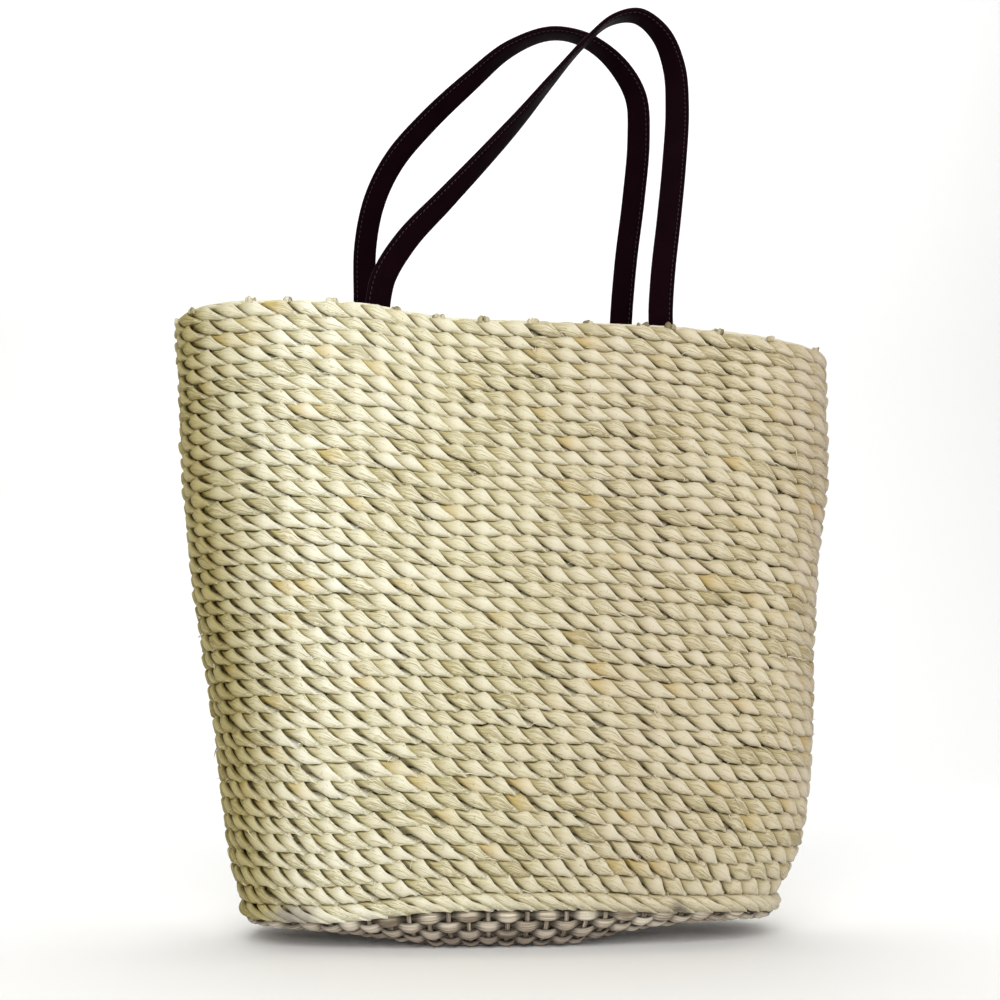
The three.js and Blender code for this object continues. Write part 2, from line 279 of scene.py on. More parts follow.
# Builds one mesh from tubes: rings is tubes x rings x points x 3. Each tube is closed on itself or
# capped at both ends. Each tube is unrolled into strips of its own on the map.
def tubeObject(name, rings, closed, material, extra=None, strips=1):
    tubes, count, around = rings.shape[:3]
    spans = count if closed else count - 1
    i, k = np.meshgrid(np.arange(spans), np.arange(around), indexing="ij")
    nextI, nextK = (i + 1) % count, (k + 1) % around
    quads = np.stack([i * around + k, nextI * around + k, nextI * around + nextK, i * around + nextK], -1)
    start = np.arange(tubes)[:, None, None, None] * count * around
    corners = (quads[None] + start).reshape(-1, 4)

    perStrip = math.ceil(spans / strips)
    margin, capRoom = 0.08, 0.01
    row = np.arange(tubes)[:, None, None, None] * strips + (i // perStrip)[None, :, :, None]
    alongStrip = (i % perStrip)[None, :, :, None] + np.array([0, 1, 1, 0])
    roundStrip = k[None, :, :, None] + np.array([0, 0, 1, 1])
    u = capRoom + (1 - 2 * capRoom) * alongStrip / perStrip + 0 * row
    v = (row + margin + (1 - 2 * margin) * roundStrip / around) / (tubes * strips)
    uv = np.stack([u, v], -1).reshape(-1, 2)

    points = rings.reshape(-1, 3)
    a, b, c = (points[corners[: spans * around, j]] for j in range(3))
    if (np.cross(b - a, c - a) * (a - points[: count * around].mean(0))).sum() < 0:
        corners = corners[:, ::-1]
        uv = uv.reshape(-1, 4, 2)[:, ::-1].reshape(-1, 2)
        flipped = True
    else:
        flipped = False
    loops = corners.ravel()
    sizes = np.full(len(corners), 4)
    if not closed:
        end = (count - 1) * around
        caps = np.stack([np.arange(around)[::-1], end + np.arange(around)])
        if flipped:
            caps = caps[:, ::-1]
        caps = (np.arange(tubes)[:, None, None] * count * around + caps[None]).reshape(-1, around)
        angle = fullTurn * np.arange(around) / around
        centre = (np.arange(tubes) * strips + 0.5) / (tubes * strips)
        spots = np.stack(
            [
                np.broadcast_to(capRoom / 2 + capRoom / 3 * np.cos(angle), (tubes, around)),
                centre[:, None] + 0.3 / (tubes * strips) * np.sin(angle),
            ],
            -1,
        )
        capUv = np.stack([spots, spots * (-1, 1) + (1, 0)], 1)
        loops = np.append(loops, caps.ravel())
        sizes = np.append(sizes, np.full(2 * tubes, around))
        uv = np.append(uv, capUv.reshape(-1, 2), 0)

    mesh = bpy.data.meshes.new(name)
    mesh.vertices.add(len(points))
    mesh.vertices.foreach_set("co", points.astype(np.float32).ravel())
    mesh.loops.add(len(loops))
    mesh.loops.foreach_set("vertex_index", loops.astype(np.int32))
    mesh.polygons.add(len(sizes))
    mesh.polygons.foreach_set("loop_start", np.append(0, np.cumsum(sizes)[:-1]).astype(np.int32))
    mesh.update(calc_edges=True)
    mesh.polygons.foreach_set("use_smooth", np.ones(len(sizes), bool))
    bakeMap = mesh.uv_layers.new(name="OFBake")
    bakeMap.uv.foreach_set("vector", uv.astype(np.float32).ravel())
    for key, values in (extra or {}).items():
        kind, field = ("FLOAT_VECTOR", "vector") if values.ndim == 4 else ("FLOAT", "value")
        layer = mesh.attributes.new(key, kind, "POINT")
        layer.data.foreach_set(field, values.astype(np.float32).ravel())
    mesh.materials.append(material)
    thing = bpy.data.objects.new(name, mesh)
    bpy.context.collection.objects.link(thing)
    return thing


# hangs a piece on the root and hides the solids that it stands for
def dress(thing, slot, *nodes):
    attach(thing, "root")
    if nodes:
        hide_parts(*nodes)


# sRGB hex to linear
def colour(hexText):
    parts = [int(hexText[i : i + 2], 16) / 255 for i in (1, 3, 5)]
    return [p / 12.92 if p <= 0.04045 else ((p + 0.055) / 1.055) ** 2.4 for p in parts] + [1.0]


# adds a node with its settings, its inputs (values or other nodes' outputs) and a ramp's stops
def addNode(tree, kind, settings=None, inputs=None, stops=None):
    made = tree.nodes.new("ShaderNode" + kind)
    for key, value in (settings or {}).items():
        setattr(made, key, value)
    for key, value in (inputs or {}).items():
        if isinstance(value, bpy.types.NodeSocket):
            tree.links.new(value, made.inputs[key])
        else:
            made.inputs[key].default_value = value
    for n, (place, shade) in enumerate(stops or []):
        elements = made.color_ramp.elements
        stop = elements[n] if n < 2 else elements.new(place)
        stop.position = place
        stop.color = shade
    return made


def newMaterial(name):
    material = bpy.data.materials.new(name)
    material.use_nodes = True
    tree = material.node_tree
    tree.nodes.clear()
    return material, tree


# Twined straw: dried husk or rush, split, twisted and still showing its long fibres. It is pale, dry
# and a little glossy along the fibre, greener where it was tucked under its neighbour. Painted shade
# darkens it there, in its clefts, on its left end and in bands along the bag.
straw = {
    "pale": "#F2EFDF",
    "body": "#EBE7CD",
    "deep": "#B4AB86",
    "tuckTintShade": "#AC9F5B",
    "warm": "#CFB25E",
    # the colour of the painted shade in clefts
    "cleftShade": "#4A3C16",
    "fleck": "#7E7048",  # bits of darker skin
    "shadeBandAxis": "X",
    "shadeBands": (  # painted shade in bands along the bag: where each begins, where it is fullest, how much, and its tint
        (-0.12, -0.165, 1.0, "#EAE8DE"),
        (-0.115, -0.035, 1.0, "#EFECE3"),  # the painted shade is lightest left of the middle
        (-0.03, 0.07, 0.62, "#E0D7D4"),  # and warmer and darker towards the right
        (0.15, 0.195, 0.5, "#DECFD4"),
    ),
    "folded": "#C8BE92",  # painted shade on the left end, which turns away from the light
    "roughness": 0.52,
    "ior": 1.46,
    "fibreWidth": 0.62,  # mm. Real fibres are about half of that and would not show
    "fibreLength": 26.0,
    "fibreRelief": 0.18 * mm,
}


def strawMaterial(name, shade, soiled):
    material, tree = newMaterial(name)
    lay = addNode(tree, "Attribute", {"attribute_name": "lay"}).outputs["Vector"]
    marks = {
        key: addNode(tree, "Attribute", {"attribute_name": key}).outputs["Fac"]
        for key in ("tone", "tuckTintShade", "warm", "cleftShade", "fold")
    }

    # noise drawn out along the fibres
    def streaks(stretch, detail):
        along, across = 1 / shade["fibreLength"] / stretch, 1 / shade["fibreWidth"] / stretch
        drawn = addNode(
            tree, "VectorMath", {"operation": "MULTIPLY"}, {0: lay, 1: (along, across, across)}
        ).outputs[0]
        noise = {"Vector": drawn, "Scale": 1.0, "Detail": detail, "Roughness": 0.6}
        return addNode(tree, "TexNoise", None, noise).outputs["Fac"]

    fine, broad = streaks(1.0, 3.0), streaks(3.6, 2.0)
    both = addNode(tree, "Mix", {"data_type": "FLOAT"}, {"Factor": 0.28, 2: fine, 3: broad}).outputs[0]
    shaded = addNode(
        tree, "Math", {"operation": "MULTIPLY_ADD"}, {0: marks["tone"], 1: 0.17, 2: both}
    ).outputs[0]
    stops = [(0.36, "deep"), (0.62, "pale"), (0.48, "body")]
    stops = [(place, colour(shade[key])) for place, key in stops]
    body = addNode(tree, "ValToRGB", None, {"Fac": shaded}, stops).outputs["Color"]
    uneven = {"Value": broad, "From Min": 0.3, "From Max": 0.7, "To Min": 0.4, "To Max": 0.9}
    uneven = addNode(tree, "MapRange", None, uneven).outputs[0]
    # where a stitch starts, tucked under its neighbour: greener tint with painted shade
    tuckTintShadeAmount = addNode(tree, "Math", {"operation": "MULTIPLY"}, {0: marks["tuckTintShade"], 1: uneven}).outputs[0]
    spots = {"Vector": lay, "Scale": 0.62, "Detail": 2.0, "Roughness": 0.7}
    spots = addNode(tree, "TexNoise", None, spots).outputs["Fac"]
    flecks = {"Value": spots, "From Min": 0.66, "From Max": 0.74, "To Max": 0.6}
    flecks = addNode(tree, "MapRange", None, flecks).outputs[0]
    # painted shade in the clefts between strands
    dark = addNode(tree, "Math", {"operation": "MULTIPLY"}, {0: marks["cleftShade"], 1: 0.6}).outputs[0]
    layers = [
        ("MIX", tuckTintShadeAmount, shade["tuckTintShade"]),
        ("MIX", marks["warm"], shade["warm"]),
        ("MIX", flecks, shade["fleck"]),
        ("MIX", dark, shade["cleftShade"]),
        ("MULTIPLY", marks["fold"], shade["folded"]),
    ]
    place = addNode(tree, "TexCoord").outputs["Object"]
    side = addNode(tree, "SeparateXYZ", None, {0: place}).outputs[shade["shadeBandAxis"]]
    # bands of painted shade along one axis of the bag
    for begins, fullest, most, tint in shade["shadeBands"]:
        limits = {"Value": side, "From Min": begins, "From Max": fullest, "To Max": most}
        layers.append(("MULTIPLY", addNode(tree, "MapRange", None, limits).outputs[0], tint))
    for blend, amount, over in layers:
        settings = {"data_type": "RGBA", "blend_type": blend}
        body = addNode(tree, "Mix", settings, {"Factor": amount, 6: body, 7: colour(over)}).outputs[2]
    if soiled:
        body = soiled(tree, place, body)
    gloss = {"Value": fine, "To Min": shade["roughness"] - 0.1, "To Max": shade["roughness"] + 0.14}
    gloss = addNode(tree, "MapRange", None, gloss).outputs[0]
    relief = {"Height": both, "Strength": 0.9, "Distance": shade["fibreRelief"]}
    relief = addNode(tree, "Bump", None, relief).outputs[0]
    finish = {"Base Color": body, "Roughness": gloss, "IOR": shade["ior"], "Normal": relief}
    surface = addNode(tree, "BsdfPrincipled", None, finish).outputs[0]
    addNode(tree, "OutputMaterial", None, {"Surface": surface})
    return material


# Cut ends of the stakes: the same straw, weathered grey and brown
tuftStraw = dict(straw, pale="#E0D9C0", body="#C4BB98", deep="#938A6A", tuckTintShade="#938A6A", roughness=0.65)
# The straw of the base is the same, but it has taken up dust and damp from what it stood on. Its
# darkest tints are painted shade, where its weavers dip under and near the ground
baseStraw = dict(
    straw,
    pale="#E6DECB",
    body="#C2B6A1",
    deep="#7A6C59",
    tuckTintShade="#3B3025",
    # painted shade in the clefts and where weavers go under
    cleftShade="#241B14",
    shadeBandAxis="Z",  # painted shade: the base is darker and browner the closer it is to the ground
    shadeBands=((0.022, 0.004, 0.75, "#AFA2A2"),),
    roughness=0.62,
)


# Scuffs on the foot's thick row: one rubbed grey patch at the left corner, one dark mark at the right
scuffs = {
    "grey": ((-0.122, -0.053, 0.0155), 0.017, "#938B84", 0.8),
    "dark": ((0.094, -0.060, 0.0205), 0.007, "#4C463F", 0.8),
}


def addScuffs(tree, place, body):
    for spot, reach, shade, strength in scuffs.values():
        far = addNode(tree, "VectorMath", {"operation": "DISTANCE"}, {0: place, 1: spot}).outputs["Value"]
        rough = {"Vector": place, "Scale": 170.0, "Detail": 3.0}
        rough = addNode(tree, "TexNoise", None, rough).outputs["Fac"]
        ragged = addNode(
            tree, "Math", {"operation": "MULTIPLY_ADD"}, {0: rough, 1: reach, 2: far}
        ).outputs[0]
        amount = {
            "Value": ragged,
            "From Min": reach * 1.7,
            "From Max": reach * 0.7,
            "To Max": strength,
        }
        amount = addNode(tree, "MapRange", {"interpolation_type": "SMOOTHSTEP"}, amount).outputs[0]
        mixed = {"Factor": amount, 6: body, 7: colour(shade)}
        body = addNode(tree, "Mix", {"data_type": "RGBA"}, mixed).outputs[2]
    return body


strawFinish = strawMaterial("driedHusk", straw, None)
waleFinish = strawMaterial("driedHuskScuffed", straw, addScuffs)
baseFinish = strawMaterial("driedHuskSoiledShaded", baseStraw, None)
tuftFinish = strawMaterial("driedHuskWeathered", tuftStraw, None)
print("straw materials made")


# one value for each half twist, read smoothly in between
def perStitch(values, s):
    i = np.floor(s).astype(int)
    t = smooth(0, 1, s - i)
    return values[i % len(values)] * (1 - t) + values[(i + 1) % len(values)] * t


# A rope's strands share its section like slices that turn with the twist. Gives the outline of one
# strand's slice at each place along it, in shares of the rope's thickness and height. Its upper edge
# stands over the next strand and its lower edge is tucked in, as shingles lie. room gives the angle
# from a strand's middle to its edges, ahead and behind, where they aren't even.
def strandSlice(theta, rope, room=None):
    half = math.pi / rope["strands"]
    share = np.array(rope["slicePoints"])[None]
    wide = half if room is None else np.where(share > 0, room[0][:, None], room[1][:, None])
    facing = theta[:, None] + share * wide
    c, s = np.cos(facing), np.sin(facing)
    square = rope["squareness"]
    reach = 0.5 / (np.abs(c) ** square + np.abs(s) ** square) ** (1 / square)
    reach = reach * (1 - rope["chink"] * smooth(0.45, 1, share) * smooth(0.15, 0.85, s * np.sign(c)))
    swell = 1 - rope["overlap"] * share + rope["pillow"] * np.cos(share * math.pi / 2)
    swell = swell - rope["tuckDepth"] * smooth(0.55, 0.95, share)
    out, lift = reach * c * swell, -reach * s
    lift = lift - rope["tipDrop"] * smooth(-0.4, -1, share) * smooth(0.1, 0.9, s * np.sign(c)) * np.sign(c)
    cores = rope["corePoints"]
    coreFacing = theta[:, None] + half * np.array([way for way, _ in cores])
    coreReach = np.array([far for _, far in cores])
    out = np.hstack([out, coreReach * np.cos(coreFacing) + rope["gap"] * np.cos(theta)[:, None]])
    lift = np.hstack([lift, -coreReach * np.sin(coreFacing) - rope["gap"] * np.sin(theta)[:, None]])
    return out, lift


# Where a strand's own fibres lie: along it, and across it as if it were pulled straight. Each number
# has a stretch of its own, so that no two strands share their streaks.
def fibreLay(s, pitch, out, lift, number):
    outMid = (out.max(1) + out.min(1))[:, None] / 2
    liftMid = (lift.max(1) + lift.min(1))[:, None] / 2
    outHalf = (out.max(1) - out.min(1))[:, None] / 2
    liftHalf = (lift.max(1) - lift.min(1))[:, None] / 2
    plump = 4.0  # mm, half of a strand's height
    along = np.broadcast_to((s * pitch / mm + 400.0 * number)[:, None], out.shape)
    return np.stack(
        [along, (out - outMid) / outHalf * plump, (lift - liftMid) / liftHalf * plump + 13.0 * number], -1
    )


twining = {
    "rows": 37,
    "taper": 0.047,  # rows are wider than the mean at the foot, closer at the rim
    "rowsInPiece": 9,
    "strands": 2,
    "cross": 0.06,  # evens out the slant where the strands cross
    "squareness": 3.4,
    "neck": 0.06,  # how much thinner the row is where its strands cross
    "overlap": 0.31,  # how far a stitch's tip stands over the next one's start, in half thicknesses
    "pillow": 0.09,
    "tuckDepth": 0.17,  # a further step down where a stitch starts
    "chink": 0.42,  # how much of a stitch's lower start is missing behind the tip before it
    "tipDrop": 0.075,
    "gap": 0.04,
    "snug": 1.05,  # rows are pushed into one another by this much
    "scallop": 0.035,  # how far a stitch's tip dips into the row below, in heights of a row
    "uneven": {"slip": 0.06, "thick": 0.07, "tall": 0.03, "lift": 0.035},  # no two stitches are alike
    "toneShares": (0.2, 0.12, 0.08),  # a stitch's own tone, its strand's, and that of the place
    "warmChance": 0.1,
    "pitch": 14.0 * mm,
    "slicePoints": (-0.97, -0.84, -0.6, -0.32, 0.0, 0.32, 0.6, 0.8, 0.93),
    "corePoints": ((1.0, 0.26), (-1.0, 0.26)),
    "frontRings": (-0.75, -0.625, -0.5, -0.375, -0.25, -0.09, 0.09, 0.25, 0.375, 0.5, 0.625, 0.75),
}


# the places of the rings along a strand, closer where it shows
def strandSteps(periods):
    one = np.append(twining["frontRings"], 1.0)
    return (np.arange(periods)[:, None] * 2 + one[None]).ravel()


def rowUp(row):
    share = row / twining["rows"]
    return share * (1 + twining["taper"] * (1 - share))


edgeLuck = luck.normal(0, 1, (twining["rows"] + 1, bag["stakes"] // 2))


# How far the line between two rows strays, in heights of a row. Both rows follow it, so no gap opens.
def edgeWander(row, stake):
    if row in (0, twining["rows"]):
        return 0 * stake
    return stray["edge"] * perStitch(edgeLuck[row], stake / 2) - twining["scallop"] * np.cos(
        fullTurn * (stake - 0.6)
    )


# One strand of a twined row: rings of points, and what its material needs
def twinedStrand(row, strand):
    stakes = bag["stakes"]
    s = strandSteps(stakes // 2)
    tallLuck, thickLuck, slipLuck, liftLuck = luck.normal(0, 1, (4, stakes))
    uneven = twining["uneven"]
    turned = s + uneven["slip"] * perStitch(slipLuck, s)
    theta = math.pi * turned + twining["cross"] * np.sin(fullTurn * turned)
    out, lift = strandSlice(theta, twining)
    plump = 1 + uneven["thick"] * perStitch(thickLuck, s)[:, None]
    neck = 1 + twining["neck"] * np.cos(fullTurn * turned)[:, None]
    out, lift = out * plump * neck, lift * neck
    lift = lift * (1 + uneven["tall"] * perStitch(tallLuck, s)[:, None])
    lift = lift + uneven["lift"] * perStitch(liftLuck, s)[:, None]
    stake = s + strand
    middle = rowUp(row + 0.5)
    place, outward, upward, height = wallWay(middle, stake)
    tall = height * (rowUp(row + 1) - rowUp(row))
    lower, upper = edgeWander(row, stake), edgeWander(row + 1, stake)
    place = place + upward * (tall * (lower + upper) / 2)[:, None]
    tall = tall * (1 + upper - lower) * twining["snug"]
    points = (
        place[:, None]
        + outward[:, None] * (out * bag["wallThickness"])[..., None]
        + upward[:, None] * (lift * tall[:, None])[..., None]
    )
    # a stitch keeps its own tone on the side where it shows
    facing = smooth(-0.12, 0.12, out)
    frontTone, backTone = luck.normal(0, 1, (2, stakes // 2))
    frontAt = np.floor((s + 1) / 2).astype(int) % (stakes // 2)
    backAt = np.floor(s / 2).astype(int) % (stakes // 2)
    stitchTone = facing * frontTone[frontAt][:, None] + (1 - facing) * backTone[backAt][:, None]
    strandTone = perStitch(luck.normal(0, 1, 11), s / 6)[:, None]
    patch = patchDrift(stake, middle)[:, None]
    shares = twining["toneShares"]
    tone = shares[0] * stitchTone + shares[1] * strandTone + shares[2] * patch
    # painted shade on the left end, which turns away from the light
    fold = smooth(0.1, 0.7, -outward[:, 0])[:, None] + 0 * out
    share = np.append(twining["slicePoints"], (1.0, 1.0))
    # painted shade along a strand's tucked lower edge, where it meets the next row
    cleftShade = smooth(0.62, 0.93, share)[None] + 0 * out
    # a stitch's start, tucked under the one before, is greener and carries painted shade
    frontPhase = np.mod(s + 1, 2) - 1
    backPhase = np.mod(s, 2) - 1
    tuckTintShade = (
        facing * smooth(0.25, -0.68, frontPhase)[:, None]
        + (1 - facing) * smooth(0.25, -0.68, backPhase)[:, None]
    )
    chosen = luck.uniform(0, 1, stakes // 2) < twining["warmChance"]
    rare = np.where(chosen, luck.uniform(0.15, 0.6, stakes // 2), 0.02)
    warm = facing * (rare[frontAt] * (0.25 + 0.75 * smooth(0.5, -0.4, frontPhase)))[:, None]
    lay = fibreLay(s, twining["pitch"], out, lift, 2 * row + strand)
    return points, lay, tone, tuckTintShade, warm, cleftShade, fold


def makeTwinedWall():
    top = twining["rows"] - 1
    ends = [*range(0, top, twining["rowsInPiece"]), top, twining["rows"]]
    for first, last in zip(ends, ends[1:]):
        strands = [twinedStrand(row, strand) for row in range(first, last) for strand in (0, 1)]
        keys = "lay", "tone", "tuckTintShade", "warm", "cleftShade", "fold"
        points, *values = (np.stack(part) for part in zip(*strands))
        extra = dict(zip(keys, values))
        name, node = ("rimRow", "rim_border") if first == top else (f"twinedRows{first + 1}", "woven_wall")
        rows = tubeObject(name, points, True, strawFinish, extra, strips=2)
        dress(rows, "straw", node)
        print(f"twined rows {first + 1} to {last} made")


makeTwinedWall()


# The stakes that the rows are twined round: they only show in the chinks
wallStakes = {"radius": 1.0 * mm, "sides": 6, "rings": 40, "inset": 1.0 * mm}


def makeWallStakes():
    up = np.linspace(-0.02, 1.01, wallStakes["rings"])
    stake = np.arange(bag["stakes"]) + 0.0
    levels = [wallWay(level, stake) for level in up]
    place = np.stack([level[0] for level in levels], 1)
    outward = np.stack([level[1] for level in levels], 1)
    place = place - outward * wallStakes["inset"]
    onward = np.cross(outward, np.stack([level[2] for level in levels], 1))
    angle = fullTurn * np.arange(wallStakes["sides"]) / wallStakes["sides"]
    thick = wallStakes["radius"] * (1 + 0.12 * luck.normal(0, 1, place.shape[:2]))
    points = place[:, :, None] + thick[:, :, None, None] * (
        np.cos(angle)[:, None] * outward[:, :, None] + np.sin(angle)[:, None] * onward[:, :, None]
    )
    lay = np.stack(
        [
            np.broadcast_to((up * 330)[None, :, None], points.shape[:3]),
            2 * np.broadcast_to(np.cos(angle), points.shape[:3]),
            2 * np.broadcast_to(np.sin(angle), points.shape[:3]) + 7.0 * stake[:, None, None],
        ],
        -1,
    )
    plain = np.zeros(points.shape[:3])
    # painted shade: the stakes take the darkest tone and the base's dark tucked tint in full, since they
    # only show in the chinks
    extra = {"lay": lay, "tone": plain - 1.0, "tuckTintShade": plain + 1, "warm": plain}
    stakes = tubeObject("wallStakes", points, False, baseFinish, extra)
    dress(stakes, "base_straw", "woven_wall")


makeWallStakes()
print("wall stakes made")


# The thick row at the foot: three strands, each over two stakes and behind one
wale = {
    "strands": 3,
    "linger": 0.5,  # a strand stays longer on the outside, over two stakes, than behind one
    "squareness": 2.1,
    "overlap": 0.26,
    "pillow": 0.08,
    "tuckDepth": 0.12,
    "chink": 0.3,
    "tipDrop": 0.05,
    "gap": 0.012,
    "slicePoints": (-0.97, -0.8, -0.5, -0.2, 0.15, 0.5, 0.8, 0.97),
    "corePoints": ((0.0, 0.03),),
    "uneven": {"slip": 0.08, "thick": 0.07},
    "toneShare": 0.14,
    "tuckTintShadeShare": 0.8,
    "pitch": 13.0 * mm,
    "perPitch": 8,
}


def waleTurn(s):
    turn = fullTurn / wale["strands"] * s
    return turn - wale["linger"] * np.sin(turn)


def makeWale():
    stakes, strands = bag["stakes"], wale["strands"]
    parts = []
    for strand in range(strands):
        s = np.arange(stakes * wale["perPitch"]) / wale["perPitch"]
        thickLuck, slipLuck = luck.normal(0, 1, (2, stakes))
        turned = s + wale["uneven"]["slip"] * perStitch(slipLuck, s)
        theta = waleTurn(turned)
        room = (waleTurn(turned + 1) - theta) / 2, (theta - waleTurn(turned - 1)) / 2
        out, lift = strandSlice(theta, wale, room)
        out = out * (1 + wale["uneven"]["thick"] * perStitch(thickLuck, s)[:, None])
        inset = bag["waleThickness"] / 2 - bag["waleProud"]
        place, outward, upward = ringWay(
            0.0, s + strand, inset, lambda across: footBottom(across) + bag["waleHeight"] / 2
        )
        points = (
            place[:, None]
            + outward[:, None] * (out * bag["waleThickness"])[..., None]
            + upward[:, None] * (lift * bag["waleHeight"])[..., None]
        )
        stitch = luck.normal(0, 1, stakes // strands)
        at = np.floor(s / strands + 0.5).astype(int) % (stakes // strands)
        tone = wale["toneShare"] * stitch[at][:, None] + 0 * out
        front = np.mod(s + strands / 2, strands) - strands / 2
        # greener tint with painted shade where a strand turns behind the others
        tuckTintShade = smooth(-0.2, -1.05, front)[:, None] + 0 * out
        tuckTintShade = wale["tuckTintShadeShare"] * tuckTintShade
        # painted shade on the left end
        fold = smooth(0.1, 0.7, -outward[:, 0])[:, None] + 0 * out
        lay = fibreLay(s, wale["pitch"], out, lift, 90 + strand)
        parts.append((points, lay, tone, tuckTintShade, fold))
    points, lay, tone, tuckTintShade, fold = (np.stack(part) for part in zip(*parts))
    extra = {"lay": lay, "tone": tone, "tuckTintShade": tuckTintShade, "fold": fold}
    row = tubeObject("footWaleStrands", points, True, waleFinish, extra, strips=5)
    dress(row, "straw", "foot_wale")


makeWale()
print("foot wale made")


# The base: plain weave, over one stake and under the next, each row a step on from its neighbour
base = {
    "rows": 12,
    "swing": 1.9 * mm,  # how far the weaver goes over and under the middle
    "halfThick": 1.65 * mm,
    "waist": 0.36,  # how high a weaver is where it goes under, in heights of a row
    "spread": 0.78,  # and how much higher where it shows
    "uneven": 0.05,
    "waver": 0.3 * mm,
    "pitch": 12.6 * mm,
    "perPitch": 6,
    "sectionAngles": (0, 40, 78, 115, 180, 245, 282, 320),
    "stakeSides": 6,
    "stakeRadius": 1.4 * mm,
    "stakeRings": 20,
}


def makeBase():
    stakes = bag["stakes"]
    width = baseReach() / base["rows"]
    s = np.arange(stakes * base["perPitch"]) / base["perPitch"]
    u = np.radians(base["sectionAngles"])
    parts = []
    for row in range(base["rows"]):
        over = np.cos(math.pi * (s + row))
        vary = luck.normal(0, 1, stakes)
        shown = np.cos(math.pi / 2 * (np.mod(s + row + 1, 2) - 1))
        tall = width / 2 * (base["waist"] + base["spread"] * shown)
        tall = tall * (1 + base["uneven"] * perStitch(vary, s))
        place, outward, upward = baseWay((row + 0.5) * width, s)
        out = base["swing"] * over[:, None] + base["halfThick"] * np.cos(u)[None]
        waver = base["waver"] * perStitch(luck.normal(0, 1, stakes), s)
        lift = tall[:, None] * np.sin(u)[None] + waver[:, None]
        points = place[:, None] + outward[:, None] * out[..., None] + upward[:, None] * lift[..., None]
        tone = perStitch(luck.normal(0, 1, stakes), s)[:, None] + 0 * out
        # painted shade where a weaver goes under its stake
        tuckTintShade = smooth(0.7, -0.4, over * np.sign(np.cos(u))[None].T).T
        dipShade = smooth(0.8, 1, np.abs(np.sin(u)))[None]  # painted shade where a row dips under the next
        tuckTintShade = np.maximum(tuckTintShade, 0.75 * dipShade)
        # painted shade over the parts of a weaver that go under
        underShade = smooth(0.35, -0.6, over[:, None] * np.sign(np.cos(u))[None])
        lay = fibreLay(s, base["pitch"], out, lift, 100 + row)
        parts.append((points, lay, 0.4 * tone, tuckTintShade, underShade))
    points, lay, tone, tuckTintShade, underShade = (np.stack(part) for part in zip(*parts))
    extra = {"lay": lay, "tone": tone, "tuckTintShade": tuckTintShade, "cleftShade": underShade}
    rows = tubeObject("baseWeavers", points, True, baseFinish, extra, strips=3)
    dress(rows, "base_straw", "woven_base")

    runs = np.linspace(0.03, 0.99, base["stakeRings"]) * baseReach()
    levels = [baseWay(run, np.arange(stakes) + 0.0) for run in runs]
    place = np.stack([level[0] for level in levels], 1)
    outward = np.stack([level[1] for level in levels], 1)
    onward = np.cross(outward, np.stack([level[2] for level in levels], 1))
    angle = fullTurn * np.arange(base["stakeSides"]) / base["stakeSides"]
    points = place[:, :, None] + base["stakeRadius"] * (
        np.cos(angle)[:, None] * outward[:, :, None] + np.sin(angle)[:, None] * onward[:, :, None]
    )
    lay = np.stack(
        [
            np.broadcast_to((runs / mm)[None, :, None], points.shape[:3]),
            2 * np.broadcast_to(np.cos(angle), points.shape[:3]),
            2 * np.broadcast_to(np.sin(angle), points.shape[:3]) + 5.0 * np.arange(stakes)[:, None, None],
        ],
        -1,
    )
    plain = np.zeros(points.shape[:3])
    extra = {"lay": lay, "tone": plain - 0.6, "tuckTintShade": plain, "warm": plain}
    rods = tubeObject("baseStakes", points, False, baseFinish, extra)
    dress(rods, "base_straw", "woven_base")


makeBase()
print("base made")


# The rim: a thin edge of two twisted strands closes the top row, and the cut ends of the stakes stick
# up through it as small dry tufts
rim = {
    "edgeHeight": 3.6 * mm,
    "edgeThickness": 6.4 * mm,
    "inset": 0.8 * mm,
    "strands": 2,
    "cross": 0.1,
    "squareness": 2.2,
    "overlap": 0.14,
    "pillow": 0.08,
    "tuckDepth": 0.06,
    "chink": 0.25,
    "tipDrop": 0.04,
    "gap": 0.012,
    "slicePoints": (-0.96, -0.75, -0.38, 0.0, 0.38, 0.75, 0.96),
    "corePoints": ((0.0, 0.02),),
    "uneven": {"slip": 0.1, "thick": 0.09},
    "pitch": 14.5 * mm,
    "perPitch": 7,
}


def makeRimEdge():
    stakes = bag["stakes"]
    parts = []
    for strand in (0, 1):
        s = np.arange(stakes * rim["perPitch"]) / rim["perPitch"]
        thickLuck, slipLuck = luck.normal(0, 1, (2, stakes))
        turned = s + rim["uneven"]["slip"] * perStitch(slipLuck, s)
        theta = math.pi * turned + rim["cross"] * np.sin(fullTurn * turned)
        out, lift = strandSlice(theta, rim)
        plump = 1 + rim["uneven"]["thick"] * perStitch(thickLuck, s)[:, None]
        out, lift = out * plump, lift * plump
        place, outward, upward = ringWay(
            1.0,
            s + strand,
            bag["wallThickness"] / 2 + rim["inset"],
            lambda across: rimTop(across) - rim["edgeHeight"] / 2,
        )
        points = (
            place[:, None]
            + outward[:, None] * (out * rim["edgeThickness"])[..., None]
            + upward[:, None] * (lift * rim["edgeHeight"])[..., None]
        )
        tone = 0.6 + 0.5 * perStitch(luck.normal(0, 1, stakes), s)[:, None] + 0 * out
        # painted shade on the left end
        fold = smooth(0.1, 0.7, -outward[:, 0])[:, None] + 0 * out
        lay = fibreLay(s, rim["pitch"], out, lift, 120 + strand)
        parts.append((points, lay, tone, fold))
    points, lay, tone, fold = (np.stack(part) for part in zip(*parts))
    extra = {"lay": lay, "tone": tone, "fold": fold}
    edge = tubeObject("rimEdge", points, True, strawFinish, extra, strips=5)
    dress(edge, "straw", "rim_border")


makeRimEdge()


